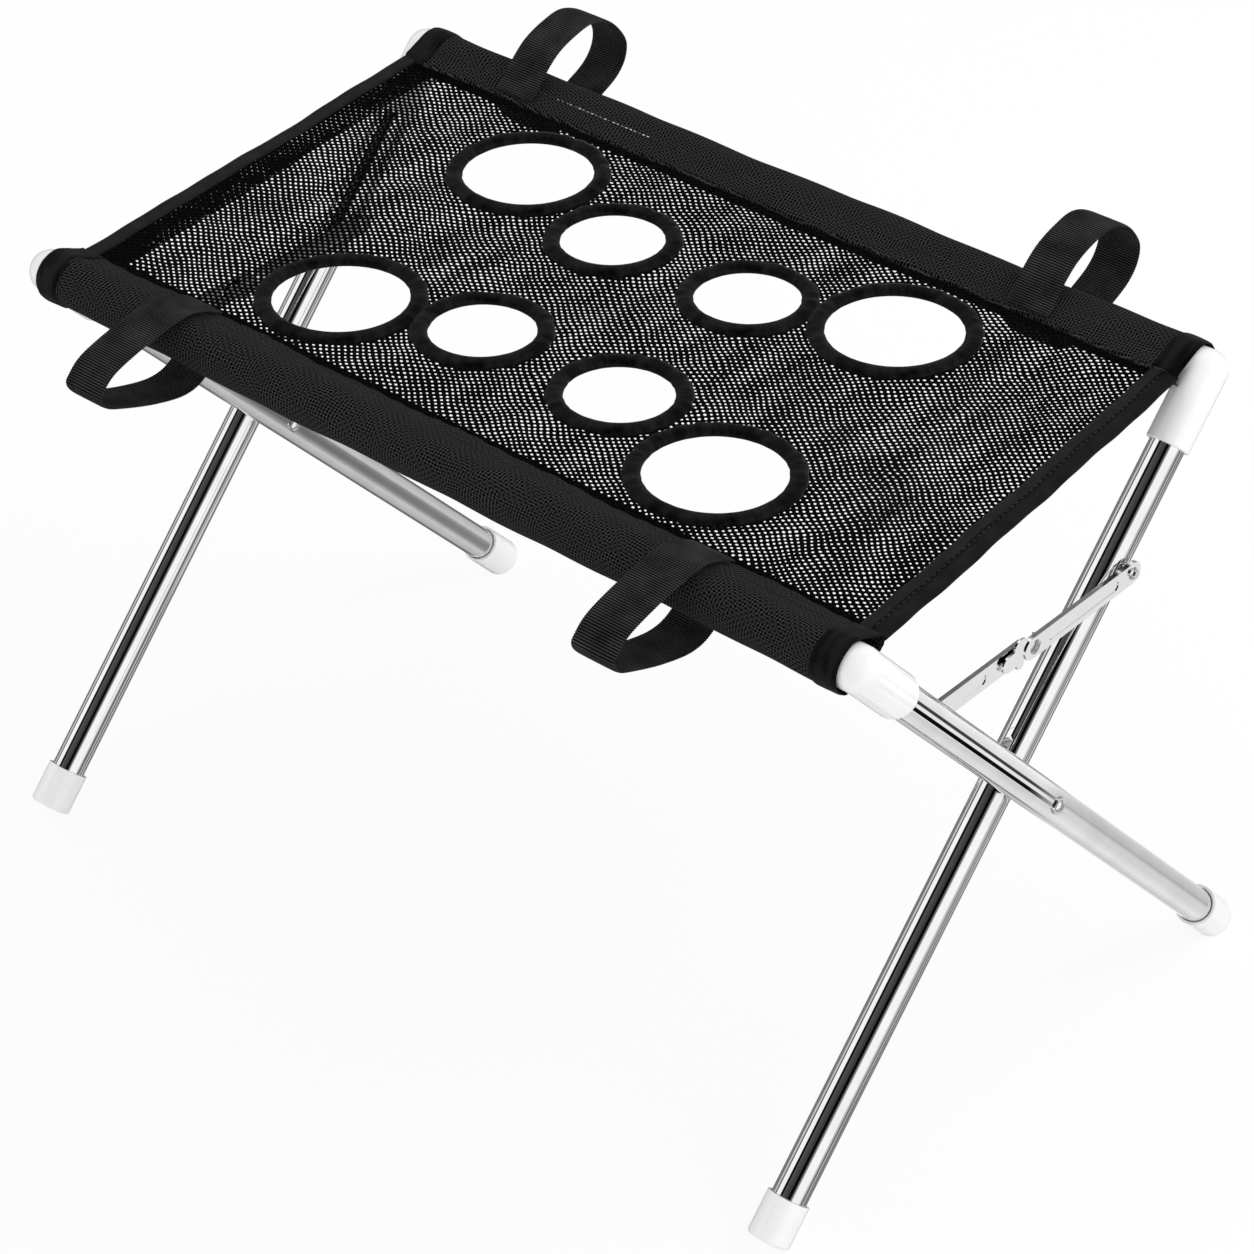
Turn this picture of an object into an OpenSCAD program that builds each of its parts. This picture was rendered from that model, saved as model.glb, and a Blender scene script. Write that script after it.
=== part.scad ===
// Folding mesh toss stand: two crossed tube frames, a mesh top and a lock brace at each end.
// Millimetres, +Z up. X runs along the rails, Y from front to back, Z = 0 is the floor.
// The front frame is the back frame turned half a turn about Z.

/* [Tubes] */
// Outer diameter of the leg and rail tubes
tube_d = 22; // [19:0.5:25]
// Wall of the tubes
tube_wall = 1.2; // [1:0.1:2]
// Half the distance between the middles of the two crossed leg pairs
rail_half = 308; // [240:1:380]
// Space between the two crossed tubes at a pivot
leg_gap = 8; // [8:0.1:12]

/* [Legs] */
// Tilt of each leg from upright when the stand is open
leg_tilt = 43.2; // [38:0.1:48]
// Pivot to rail axis along a leg
upper_leg = 261; // [220:1:320]
// Pivot to the end of the foot cap along a leg
lower_leg = 299; // [250:1:360]

/* [Elbows and feet] */
// Outer diameter of the elbow sockets
elbow_d = 27; // [25.5:0.1:28]
// Length of each elbow socket from the corner
socket_len = 48; // [36:1:60]
// How far the tubes stop short of the corner
tube_stop = 14; // [13.9:0.1:18]
// Rounding of the socket mouths
mouth_round = 1; // [0.4:0.1:1.3]
// Outer diameter of the foot caps
foot_d = 26.6; // [25:0.1:28]
// Length of the back frame's foot caps
foot_len = 27.5; // [20:0.5:40]
// Length of the front frame's foot caps
far_foot_len = 33; // [24:0.5:45]
// Floor of the foot cap under the tube end
foot_floor = 5; // [4:0.5:8]
// Gap between tube and cap at the cap's relieved mouth
foot_relief = 0.6; // [0.3:0.1:1]
// Depth of the relief
relief_depth = 2; // [1:0.5:4]
// Rounding of the foot cap's lower edge
foot_round = 2; // [1:0.1:3]
// How deep the rest flat is cut into the foot cap
foot_flat = 0.9; // [0.5:0.1:1.5]

/* [Pivots and rivets] */
// Pivot rivet shank diameter
pivot_pin_d = 6; // [5:0.1:8]
// Brace rivet shank diameter
brace_pin_d = 5; // [4:0.1:5.4]
// Rivet head diameter
head_d = 8; // [7:0.1:9]
// Height of a domed head
head_h = 1.25; // [0.8:0.05:1.3]
// Outer diameter of the saddle washers and the pivot spacer
washer_d = 11; // [10:0.5:12]
// Saddle washer height above the tube
washer_h = 1; // [0.8:0.1:1.6]

/* [Lock brace] */
// Pivot to brace rivet along a leg
brace_reach = 138; // [110:1:160]
// Width of the brace links
link_w = 14.4; // [12:0.2:18]
// Depth of the pressed links
link_depth = 2.9; // [2.5:0.05:2.95]
// Sheet thickness of the links
link_sheet = 1.2; // [1:0.05:1.25]
// How far the upper link's tail runs past the middle rivet
link_tail = 29; // [24:0.5:34]
// Diameter of the middle rivet's head
mid_head_d = 9.4; // [8:0.1:10.4]
// Half the width of the tail
tail_r = 5.4; // [5:0.1:6]
// How much deeper the tail lies than the link's face
tail_step = 0.8; // [0.4:0.1:0.9]
// How far the link's round end is set past the middle rivet
link_end = 2.3; // [1.6:0.1:3]
// Middle rivet to the middle of the ears on the tail
ear_reach = 12.5; // [11:0.5:15]
// Radius of the upper ear
upper_ear_r = 6.5; // [5:0.1:7]
// Height of the upper ear's top above the rivets
upper_ear_top = 11.5; // [10:0.1:12]
// Radius of the lower ear, which runs on under the lower link as the stop
stop_ear_r = 3.2; // [2.6:0.1:4]
// Width of the pressed groove
groove_w = 7; // [5:0.2:9]
// Depth of the pressed groove
groove_depth = 0.5; // [0.2:0.05:0.6]

/* [Mesh top] */
// Height of the panel's long edges above the rail axes
panel_rise = 4.5; // [0:0.5:6]
// How far the middle of the panel hangs
panel_sag = 1; // [0.5:0.5:6]
// Thickness of the mesh with its coating
panel_t = 1.6; // [1.2:0.1:2]
// Inner radius of the large holes
large_r = 41; // [34:0.5:44]
// Inner radius of the small holes
small_r = 32; // [26:0.5:35]
// Large hole centres from the middle, along the rails
large_x = 144.5; // [130:0.5:170]
// Large hole centres from the panel's long edges
large_from_seam = 59.6; // [57:0.1:66]
// Small hole centres from the middle, along the rails
small_x = 53; // [49:1:56]
// Small hole centres from the panel's long edges
small_from_seam = 87; // [85:0.1:100]
// Width of the tape rolled round a hole
ring_w = 10.6; // [8:0.2:11]
// Thickness of the tape rolled round a hole
ring_t = 6; // [4:0.5:7]
// Width of the tape on the right short edge
tape_w = 18.5; // [14:0.5:22]
// Width of the tape on the left short edge
left_tape_w = 10.5; // [8:0.5:14]
// Thickness of the tape on the short edges
tape_t = 3.6; // [3:0.2:4.4]

/* [Sleeves and loops] */
// Outer radius of a sleeve
sleeve_r = 15.5; // [15:0.1:18]
// Sleeve cloth thickness
sleeve_t = 1.2; // [0.8:0.1:1.4]
// Rail axis to the middle of the sleeve seam
seam_reach = 25; // [23:0.5:30]
// Half thickness of the seam
seam_r = 2; // [1.8:0.1:2.4]
// Leg axis to the end of a sleeve
sleeve_end = 3; // [2:0.5:8]
// Length of a tape cuff
cuff_len = 18; // [14:0.5:24]
// Cuff cloth thickness
cuff_t = 1.3; // [0.8:0.1:1.6]
// Width of the webbing
web_w = 30; // [20:1:40]
// Thickness of the webbing
web_t = 1.8; // [1.2:0.1:2.2]
// Right back loop from the right end of its sleeve
back_loop_right = 107; // [40:1:160]
// Left back loop from the left end of its sleeve
back_loop_left = 96; // [40:1:160]
// Right front loop from the right end of its sleeve
front_loop_right = 114; // [40:1:160]
// Left front loop from the left end of its sleeve
front_loop_left = 106; // [40:1:160]

/* [Fits] */
// Radial clearance of a rivet in its bore
pin_clear = 0.05; // [0.02:0.01:0.1]
// Radial clearance of a tube in a socket, and of a seat on a tube
seat_clear = 0.05; // [0.02:0.01:0.1]
// End clearance of a link or washer on its rivet
end_clear = 0.1; // [0.05:0.01:0.15]
// Gap between pieces of cloth
cloth_gap = 0.1; // [0.05:0.01:0.2]

/* [Hidden] */
$fn = 48;

tube_r = tube_d / 2;
leg_shift = (tube_d + leg_gap) / 2;
right_leg_x = rail_half - leg_shift;
left_leg_x = -rail_half - leg_shift;

// The foot cap's rounded edge touches the floor before its flat is cut.
foot_z = (foot_d / 2 - foot_round) * sin(leg_tilt) - foot_round * cos(leg_tilt) + foot_round - foot_flat;
pivot_z = foot_z + lower_leg * cos(leg_tilt);
rail_z = pivot_z + upper_leg * cos(leg_tilt);
rail_y = upper_leg * sin(leg_tilt);

// Places of the brace, from the pivot.
brace_y = brace_reach * sin(leg_tilt);
brace_z = brace_reach * cos(leg_tilt);

// Depths in the gap between the tubes, from the back leg's side towards +X.
link_side = 0.4;
link_space = 0.25;
lower_x = link_side;
upper_x = link_side + link_depth + link_space;
bulb_d = 7;
bulb_h = 1.6;
bulb_drop = 0.8;

// The underside of the lower link, with room for the stop.
stop_z = -link_w / 2 - 3 * link_space;
stop_ear_z = stop_z - link_sheet + stop_ear_r;
upper_ear_z = upper_ear_top - upper_ear_r;

// Ends of the pressed grooves, from the leg rivets and from the middle rivet.
groove_far = 18;
upper_groove_near = 16;
lower_groove_near = 45;
flange_cut = 9;

// The sleeves lean up from the rails to the seams, and the panel runs from seam to seam.
sleeve_lean = atan2(panel_rise, seam_reach);
drop_reach = norm([seam_reach, panel_rise]);
panel_y = rail_y - seam_reach - seam_r - cloth_gap;
panel_half = rail_half - sleeve_end;
large_y = panel_y - large_from_seam;
small_y = panel_y - small_from_seam;
skew = leg_shift / panel_y;
panel_steps = 16;
hole_lap = 3;
tape_lap = 1.2;
far = 60;

module plastic() color([0.93, 0.93, 0.93]) children();
module steel() color([0.78, 0.78, 0.8]) children();
module black() color([0.07, 0.07, 0.07]) children();

module front() rotate([0, 0, 180]) children();

// Along a back leg: Z runs up the leg from the pivot.
module on_back_leg(x) translate([x, 0, pivot_z]) rotate([-leg_tilt, 0, 0]) children();

// Extrude a Y-Z section along X.
module along_x(x0, x1) translate([x0, 0, 0]) rotate([90, 0, 90]) linear_extrude(x1 - x0) children();

// A solid round bar along Z with a rounded top edge.
module round_bar(d, h, r) rotate_extrude($fn = 64) {
    square([d / 2, h - r]);
    square([d / 2 - r, h]);
    translate([d / 2 - r, h - r]) circle(r);
}

// A domed head standing on Z = 0.
module dome(d, h) {
    r = (d * d / 4 + h * h) / (2 * h);
    intersection() {
        translate([0, 0, h - r]) sphere(r);
        cylinder(d = d, h = h);
    }
}

/* Frame tubes, elbows and feet */

module rail() translate([left_leg_x + tube_stop, rail_y, rail_z]) rotate([0, 90, 0]) difference() {
    cylinder(d = tube_d, h = 2 * rail_half - 2 * tube_stop);
    translate([0, 0, -1]) cylinder(d = tube_d - 2 * tube_wall, h = 2 * rail_half);
}

module leg(x) on_back_leg(x) difference() {
    translate([0, 0, foot_floor - lower_leg])
        cylinder(d = tube_d, h = lower_leg + upper_leg - foot_floor - tube_stop);
    translate([0, 0, -lower_leg])
        cylinder(d = tube_d - 2 * tube_wall, h = lower_leg + upper_leg);
    rotate([0, 90, 0]) translate([0, 0, -tube_d])
        cylinder(d = pivot_pin_d + 2 * pin_clear, h = 2 * tube_d);
    translate([0, 0, brace_reach]) rotate([0, 90, 0])
        cylinder(d = brace_pin_d + 2 * pin_clear, h = tube_d);
}

// turn is 1 where the rail runs towards +X, -1 where it runs towards -X.
module elbow(x, turn) on_back_leg(x) translate([0, 0, upper_leg]) difference() {
    union() {
        sphere(d = elbow_d, $fn = 64);
        rotate([180, 0, 0]) round_bar(elbow_d, socket_len, mouth_round);
        rotate([0, 90 * turn, 0]) round_bar(elbow_d, socket_len, mouth_round);
    }
    rotate([180, 0, 0]) translate([0, 0, tube_stop])
        cylinder(d = tube_d + 2 * seat_clear, h = socket_len, $fn = 64);
    rotate([0, 90 * turn, 0]) translate([0, 0, tube_stop])
        cylinder(d = tube_d + 2 * seat_clear, h = socket_len, $fn = 64);
}

module foot(x, l) difference() {
    on_back_leg(x) translate([0, 0, -lower_leg]) difference() {
        translate([0, 0, l]) rotate([180, 0, 0]) difference() {
            round_bar(foot_d, l, foot_round);
            translate([0, 0, -1]) cylinder(d = tube_d + 2 * seat_clear, h = l - foot_floor + 1, $fn = 64);
            translate([0, 0, -1]) cylinder(d = tube_d + 2 * foot_relief, h = relief_depth + 1, $fn = 64);
        }
    }
    translate([x - far / 2, -2 * rail_y, -far]) cube([far, 2 * rail_y, far]);
}

/* Pivot hardware */

module tube_cut(x) on_back_leg(x) translate([0, 0, -lower_leg])
    cylinder(d = tube_d + 2 * seat_clear, h = lower_leg + upper_leg, $fn = 64);

module washer(x) difference() {
    translate([x - tube_r - washer_h, 0, pivot_z]) rotate([0, 90, 0]) difference() {
        cylinder(d = washer_d, h = washer_h + tube_r / 2);
        translate([0, 0, -1]) cylinder(d = pivot_pin_d + 2 * pin_clear, h = tube_d);
    }
    tube_cut(x);
}

module pivot_spacer(x) difference() {
    translate([x + tube_r / 2, 0, pivot_z]) rotate([0, 90, 0]) difference() {
        cylinder(d = washer_d, h = tube_r / 2 + leg_gap - end_clear);
        translate([0, 0, -1]) cylinder(d = pivot_pin_d + 2 * pin_clear, h = tube_d);
    }
    tube_cut(x);
}

// x is the back leg's; the rivet runs on through the front leg.
module pivot_rivet(x) translate([x + leg_shift, 0, pivot_z]) {
    half = tube_d + leg_gap / 2 + washer_h + end_clear;
    rotate([0, 90, 0]) translate([0, 0, -half]) cylinder(d = pivot_pin_d, h = 2 * half);
    rotate([0, 90, 0]) translate([0, 0, half]) dome(head_d, 1.5 * head_h);
    rotate([0, -90, 0]) translate([0, 0, half]) dome(head_d, 1.5 * head_h);
}

/* Lock brace */

module capsule(y0, y1, r) {
    translate([y0, 0]) circle(r);
    translate([y1, 0]) circle(r);
    translate([y0, -r]) square([y1 - y0, 2 * r]);
}

module tray(y0, y1, g0, g1) {
    web = link_depth - link_sheet;
    difference() {
        along_x(0, link_depth) capsule(y0, y1, link_w / 2);
        along_x(-1, web) capsule(y0, y1, link_w / 2 - link_sheet);
        along_x(link_depth - groove_depth, link_depth + 1) capsule(g0, g1, groove_w / 2);
    }
}

module brace_at(x) translate([x + tube_r, 0, pivot_z + brace_z]) children();

module pin_hole(y, d) translate([-1, y, 0]) rotate([0, 90, 0]) cylinder(d = d, h = link_depth + 2);

// A flat tail with an ear on each edge, joined to the wall of the link's round end.
module tail_plate() difference() {
    union() {
        capsule(tail_r - link_tail, 0, tail_r);
        translate([-ear_reach, stop_ear_z]) circle(stop_ear_r);
        translate([-ear_reach, upper_ear_z]) circle(upper_ear_r);
    }
    capsule(-link_end, brace_y, link_w / 2 - link_sheet);
}

module upper_link(x) brace_at(x) translate([upper_x, 0, 0]) difference() {
    union() {
        tray(-link_end, brace_y, upper_groove_near, brace_y - groove_far);
        along_x(link_depth - link_sheet - tail_step, link_depth - tail_step) tail_plate();
        along_x(lower_x - upper_x + link_side, link_depth - tail_step) difference() {
            translate([-ear_reach, stop_ear_z]) circle(stop_ear_r);
            translate([-far, stop_z]) square(2 * far);
        }
    }
    pin_hole(brace_y, brace_pin_d + 2 * pin_clear);
    pin_hole(0, brace_pin_d + 2 * pin_clear);
}

// The upper flange is cut back beside the middle rivet.
module lower_link(x) brace_at(x) translate([lower_x, 0, 0]) difference() {
    tray(-brace_y, 0, groove_far - brace_y, -lower_groove_near);
    along_x(-1, link_depth + 1) translate([-flange_cut, head_d / 2 + 2 * link_space]) square(2 * flange_cut);
    pin_hole(-brace_y, brace_pin_d + 2 * pin_clear);
    pin_hole(0, brace_pin_d + 2 * pin_clear);
}

// Set in the back leg; the upper link turns on it.
module brace_rivet_back(x) difference() {
    brace_at(x) translate([0, brace_y, 0]) rotate([0, 90, 0]) {
        translate([0, 0, -tube_r / 4]) cylinder(d = head_d, h = tube_r / 4 + upper_x + link_depth - link_sheet - end_clear);
        cylinder(d = brace_pin_d, h = upper_x + link_depth + end_clear);
        translate([0, 0, upper_x + link_depth + end_clear]) dome(head_d, head_h);
    }
    tube_cut(x);
}

module brace_bulb() {
    translate([0, 0, -tube_wall - bulb_drop - bulb_h]) cylinder(d = bulb_d, h = bulb_h);
    translate([0, 0, -tube_wall - bulb_drop]) cylinder(d = brace_pin_d, h = tube_r);
}

module brace_rivet_back_full(x) {
    brace_rivet_back(x);
    brace_at(x) translate([0, brace_y, 0]) rotate([0, 90, 0]) brace_bulb();
}

// Set in the front leg; the lower link turns on it. Its head lies in the link's hollow.
module brace_rivet_front_full(x) {
    head_t = link_depth - link_sheet - link_side - end_clear;
    difference() {
        brace_at(x) translate([0, -brace_y, 0]) rotate([0, 90, 0]) {
            translate([0, 0, lower_x + link_side]) cylinder(d = head_d, h = head_t);
            translate([0, 0, lower_x + link_side]) cylinder(d = brace_pin_d, h = leg_gap);
            translate([0, 0, lower_x + link_depth + end_clear])
                cylinder(d = head_d, h = leg_gap - lower_x - link_depth - end_clear + tube_r / 4);
        }
        front() tube_cut(-x - 2 * leg_shift);
    }
    brace_at(x) translate([leg_gap, -brace_y, 0]) rotate([0, -90, 0]) {
        translate([0, 0, -tube_wall - bulb_drop - bulb_h]) cylinder(d = bulb_d, h = bulb_h);
        translate([0, 0, -tube_wall - bulb_drop]) cylinder(d = brace_pin_d, h = tube_wall + bulb_drop + leg_gap - lower_x - link_depth);
    }
}

module mid_rivet(x) brace_at(x) translate([upper_x, 0, 0]) rotate([0, 90, 0]) {
    translate([0, 0, link_depth]) dome(mid_head_d, head_h);
    cylinder(d = brace_pin_d, h = link_depth);
    cylinder(d = mid_head_d, h = link_depth - link_sheet);
}

module mid_rivet_tail(x) brace_at(x) translate([lower_x, 0, 0]) rotate([0, 90, 0]) {
    translate([0, 0, link_side]) cylinder(d = head_d, h = link_depth - link_sheet - link_side);
    translate([0, 0, link_side]) cylinder(d = brace_pin_d, h = link_depth - link_side);
}

/* Mesh top */

function hang(y) = panel_rise - panel_sag * (1 - y * y / (panel_y * panel_y));
function slope(y) = atan(2 * panel_sag * y / (panel_y * panel_y));

// The hanging section of the panel, t thick.
module panel_section(t) {
    ys = [for (i = [0 : panel_steps]) -panel_y + 2 * panel_y * i / panel_steps];
    polygon(concat([for (y = ys) [y, hang(y) + t / 2]],
                   [for (i = [panel_steps : -1 : 0]) [ys[i], hang(ys[i]) - t / 2]]));
}

module panel_slab(t) translate([0, 0, rail_z]) along_x(-rail_half - far, rail_half + far) panel_section(t);

// A strip of the panel's slanted plan between two distances from the middle.
module plan_strip(x0, x1) translate([0, 0, rail_z - far]) linear_extrude(2 * far)
    polygon([[x0 - leg_shift, panel_y], [x1 - leg_shift, panel_y], [x1 + leg_shift, -panel_y], [x0 + leg_shift, -panel_y]]);

module hole_at(x, y) translate([x - skew * y, y, rail_z + hang(y)]) rotate([slope(y), 0, 0]) children();

module hole_cut(x, y, r) hole_at(x, y) translate([0, 0, -far / 2]) cylinder(r = r, h = far, $fn = 96);

module mesh_panel() difference() {
    intersection() {
        panel_slab(panel_t);
        plan_strip(-panel_half, panel_half);
    }
    for (i = [-1, 1]) for (j = [-1, 1]) {
        hole_cut(i * large_x, j * large_y, large_r + hole_lap);
        hole_cut(i * small_x, j * small_y, small_r + hole_lap);
    }
}

module hole_binding(x, y, r) difference() {
    hole_at(x, y) rotate_extrude($fn = 96) translate([r, 0]) capsule(ring_t / 2, ring_w - ring_t / 2, ring_t / 2);
    difference() {
        panel_slab(panel_t + 2 * cloth_gap);
        hole_cut(x, y, r + hole_lap - cloth_gap);
    }
}

// side is 1 for the right end, -1 for the left end.
module end_binding(side) difference() {
    intersection() {
        panel_slab(tape_t);
        if (side > 0) plan_strip(panel_half + tape_lap - tape_w, panel_half + tape_lap);
        else plan_strip(-panel_half - tape_lap, left_tape_w - panel_half - tape_lap);
    }
    intersection() {
        panel_slab(panel_t + 2 * cloth_gap);
        plan_strip(-panel_half - cloth_gap, panel_half + cloth_gap);
    }
}

/* Sleeves, cuffs and loops */

// A drop: a circle round the rail drawn out to the seam on the inboard side.
module drop(r, tip_r, reach) {
    c = (r - tip_r) / reach;
    s = sqrt(1 - c * c);
    circle(r, $fn = 64);
    translate([-reach, 0]) circle(tip_r);
    polygon([[-r * c, r * s], [-reach - tip_r * c, tip_r * s], [-reach - tip_r * c, -tip_r * s], [-r * c, -r * s]]);
}

module at_rail() translate([0, rail_y, rail_z]) children();

module leaning() rotate([0, 0, -sleeve_lean]) children();

// Room for the leg sockets, which come out through the ends of the sleeves.
module socket_cut() for (x = [right_leg_x, left_leg_x])
    on_back_leg(x) translate([0, 0, upper_leg - socket_len])
        cylinder(d = elbow_d + 2 * cloth_gap, h = socket_len, $fn = 64);

module sleeve() difference() {
    at_rail() along_x(left_leg_x + sleeve_end, right_leg_x - sleeve_end) leaning() difference() {
        drop(sleeve_r, seam_r, drop_reach);
        drop(sleeve_r - sleeve_t, seam_r - sleeve_t, drop_reach - sleeve_t);
    }
    socket_cut();
}

module cuff(x0) difference() {
    at_rail() along_x(x0, x0 + cuff_len) leaning() difference() {
        drop(sleeve_r + cloth_gap + cuff_t, seam_r + cloth_gap, drop_reach - cuff_t);
        drop(sleeve_r + cloth_gap, seam_r + cloth_gap, drop_reach);
    }
    socket_cut();
}

// Smooth curve through points, four spans of it between each pair.
function knot(p, i) = p[max(0, min(len(p) - 1, i))];
function curve(p, i, t) = 0.5 * (2 * knot(p, i) + (knot(p, i + 1) - knot(p, i - 1)) * t
    + (2 * knot(p, i - 1) - 5 * knot(p, i) + 4 * knot(p, i + 1) - knot(p, i + 2)) * t * t
    + (3 * knot(p, i) - knot(p, i - 1) - 3 * knot(p, i + 1) + knot(p, i + 2)) * t * t * t);
function route(p) = concat([for (i = [0 : len(p) - 2]) for (t = [0 : 0.25 : 0.75]) curve(p, i, t)], [p[len(p) - 1]]);
function normal_at(q, i) = let (d = knot(q, i + 1) - knot(q, i - 1)) [-d[1], d[0]] / norm(d);

module strap(points) {
    q = route(points);
    polygon(concat([for (i = [0 : len(q) - 1]) q[i] + normal_at(q, i) * web_t / 2],
                   [for (i = [len(q) - 1 : -1 : 0]) q[i] - normal_at(q, i) * web_t / 2]));
}

// Outboard and up from the rail axis, from the seam over the sleeve and back under it.
seam_over = [-22.5, panel_rise + 4.8];
seam_under = [-25.5, panel_rise - 4.2];
back_route = [seam_over, [-16, 14.5], [-8, 24], [5, 34], [22, 40], [38, 42], [54, 36], [65, 25], [70, 15],
              [68, 4], [60, -5], [46, -12], [30, -18], [11, -22], [-5, -21], [-18, -11], seam_under];
front_route = [seam_over, [-15, 13.8], [-5, 17.8], [5, 19.3], [30, 16], [60, 8], [72, -1], [74, -6],
               [70, -12], [60, -17], [35, -26], [11, -31], [-5, -27], [-18, -13], seam_under];

module loop(x, points) at_rail() along_x(x - web_w / 2, x + web_w / 2) strap(points);

/* The nodes */

module back_rail() steel() rail();
module back_elbow_right() plastic() elbow(right_leg_x, -1);
module back_elbow_left() plastic() elbow(left_leg_x, 1);
module back_leg_right() steel() leg(right_leg_x);
module back_leg_left() steel() leg(left_leg_x);
module back_foot_right() plastic() foot(right_leg_x, foot_len);
module back_foot_left() plastic() foot(left_leg_x, foot_len);
module back_sleeve() black() sleeve();
module back_cuff_right() black() cuff(right_leg_x - sleeve_end - cuff_len);
module back_cuff_left() black() cuff(left_leg_x + sleeve_end);
module back_loop_right_node() black() loop(right_leg_x - sleeve_end - back_loop_right, back_route);
module back_loop_left_node() black() loop(left_leg_x + sleeve_end + back_loop_left, back_route);
module back_washer_right() steel() washer(right_leg_x);
module back_washer_left() steel() washer(left_leg_x);
module brace_rivet_back_right() steel() brace_rivet_back_full(right_leg_x);
module brace_rivet_back_left() steel() brace_rivet_back_full(left_leg_x);
module pivot_rivet_right() steel() pivot_rivet(right_leg_x);
module pivot_rivet_left() steel() pivot_rivet(left_leg_x);
module pivot_spacer_right() steel() pivot_spacer(right_leg_x);
module pivot_spacer_left() steel() pivot_spacer(left_leg_x);
module mesh_panel_node() black() mesh_panel();
module end_binding_right() black() end_binding(1);
module end_binding_left() black() end_binding(-1);
module large_hole_binding_back_right() black() hole_binding(large_x, large_y, large_r);
module large_hole_binding_back_left() black() hole_binding(-large_x, large_y, large_r);
module large_hole_binding_front_right() black() hole_binding(large_x, -large_y, large_r);
module large_hole_binding_front_left() black() hole_binding(-large_x, -large_y, large_r);
module small_hole_binding_back_right() black() hole_binding(small_x, small_y, small_r);
module small_hole_binding_back_left() black() hole_binding(-small_x, small_y, small_r);
module small_hole_binding_front_right() black() hole_binding(small_x, -small_y, small_r);
module small_hole_binding_front_left() black() hole_binding(-small_x, -small_y, small_r);
module front_rail() steel() front() rail();
module front_elbow_right() plastic() front() elbow(left_leg_x, 1);
module front_elbow_left() plastic() front() elbow(right_leg_x, -1);
module front_leg_right() steel() front() leg(left_leg_x);
module front_leg_left() steel() front() leg(right_leg_x);
module front_foot_right() plastic() front() foot(left_leg_x, far_foot_len);
module front_foot_left() plastic() front() foot(right_leg_x, far_foot_len);
module front_sleeve() black() front() sleeve();
module front_cuff_right() black() front() cuff(left_leg_x + sleeve_end);
module front_cuff_left() black() front() cuff(right_leg_x - sleeve_end - cuff_len);
module front_loop_right_node() black() front() loop(left_leg_x + sleeve_end + front_loop_right, front_route);
module front_loop_left_node() black() front() loop(right_leg_x - sleeve_end - front_loop_left, front_route);
module front_washer_right() steel() front() washer(left_leg_x);
module front_washer_left() steel() front() washer(right_leg_x);
module brace_rivet_front_right() steel() brace_rivet_front_full(right_leg_x);
module brace_rivet_front_left() steel() brace_rivet_front_full(left_leg_x);
module upper_link_right() steel() upper_link(right_leg_x);
module upper_link_left() steel() upper_link(left_leg_x);
module mid_rivet_right() steel() mid_rivet(right_leg_x);
module mid_rivet_left() steel() mid_rivet(left_leg_x);
module lower_link_right() steel() lower_link(right_leg_x);
module lower_link_left() steel() lower_link(left_leg_x);
module mid_rivet_tail_right() steel() mid_rivet_tail(right_leg_x);
module mid_rivet_tail_left() steel() mid_rivet_tail(left_leg_x);

back_rail();
back_elbow_right();
back_elbow_left();
back_leg_right();
back_leg_left();
back_foot_right();
back_foot_left();
back_sleeve();
back_cuff_right();
back_cuff_left();
back_loop_right_node();  // back_loop_right
back_loop_left_node();  // back_loop_left
back_washer_right();
back_washer_left();
brace_rivet_back_right();
brace_rivet_back_left();
pivot_rivet_right();
pivot_rivet_left();
pivot_spacer_right();
pivot_spacer_left();
mesh_panel_node();  // mesh_panel
end_binding_right();
end_binding_left();
large_hole_binding_back_right();
large_hole_binding_back_left();
large_hole_binding_front_right();
large_hole_binding_front_left();
small_hole_binding_back_right();
small_hole_binding_back_left();
small_hole_binding_front_right();
small_hole_binding_front_left();
front_rail();
front_elbow_right();
front_elbow_left();
front_leg_right();
front_leg_left();
front_foot_right();
front_foot_left();
front_sleeve();
front_cuff_right();
front_cuff_left();
front_loop_right_node();  // front_loop_right
front_loop_left_node();  // front_loop_left
front_washer_right();
front_washer_left();
brace_rivet_front_right();
brace_rivet_front_left();
upper_link_right();
upper_link_left();
mid_rivet_right();
mid_rivet_left();
lower_link_right();
lower_link_left();
mid_rivet_tail_right();
mid_rivet_tail_left();
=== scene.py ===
import math
import random

import bpy
from mathutils import Matrix, Vector


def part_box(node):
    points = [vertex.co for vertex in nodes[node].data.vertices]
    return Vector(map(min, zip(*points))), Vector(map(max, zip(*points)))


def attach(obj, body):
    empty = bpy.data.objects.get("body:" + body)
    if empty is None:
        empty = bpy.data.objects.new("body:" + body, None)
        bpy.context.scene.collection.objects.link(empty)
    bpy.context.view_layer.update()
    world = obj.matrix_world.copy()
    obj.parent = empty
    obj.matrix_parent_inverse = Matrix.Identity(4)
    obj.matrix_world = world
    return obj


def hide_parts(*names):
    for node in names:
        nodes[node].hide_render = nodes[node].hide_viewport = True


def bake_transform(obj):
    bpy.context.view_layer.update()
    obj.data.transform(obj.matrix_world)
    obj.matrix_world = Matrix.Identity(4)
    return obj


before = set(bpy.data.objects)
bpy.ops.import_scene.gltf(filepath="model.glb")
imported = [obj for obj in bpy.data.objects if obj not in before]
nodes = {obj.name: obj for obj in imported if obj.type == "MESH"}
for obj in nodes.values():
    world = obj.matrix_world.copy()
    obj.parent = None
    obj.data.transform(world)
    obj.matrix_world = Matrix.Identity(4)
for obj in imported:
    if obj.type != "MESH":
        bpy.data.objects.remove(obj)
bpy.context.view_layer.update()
scene = bpy.context.scene
scene.view_settings.view_transform = "Standard"
bpy.ops.object.select_all(action="DESELECT")

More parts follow.
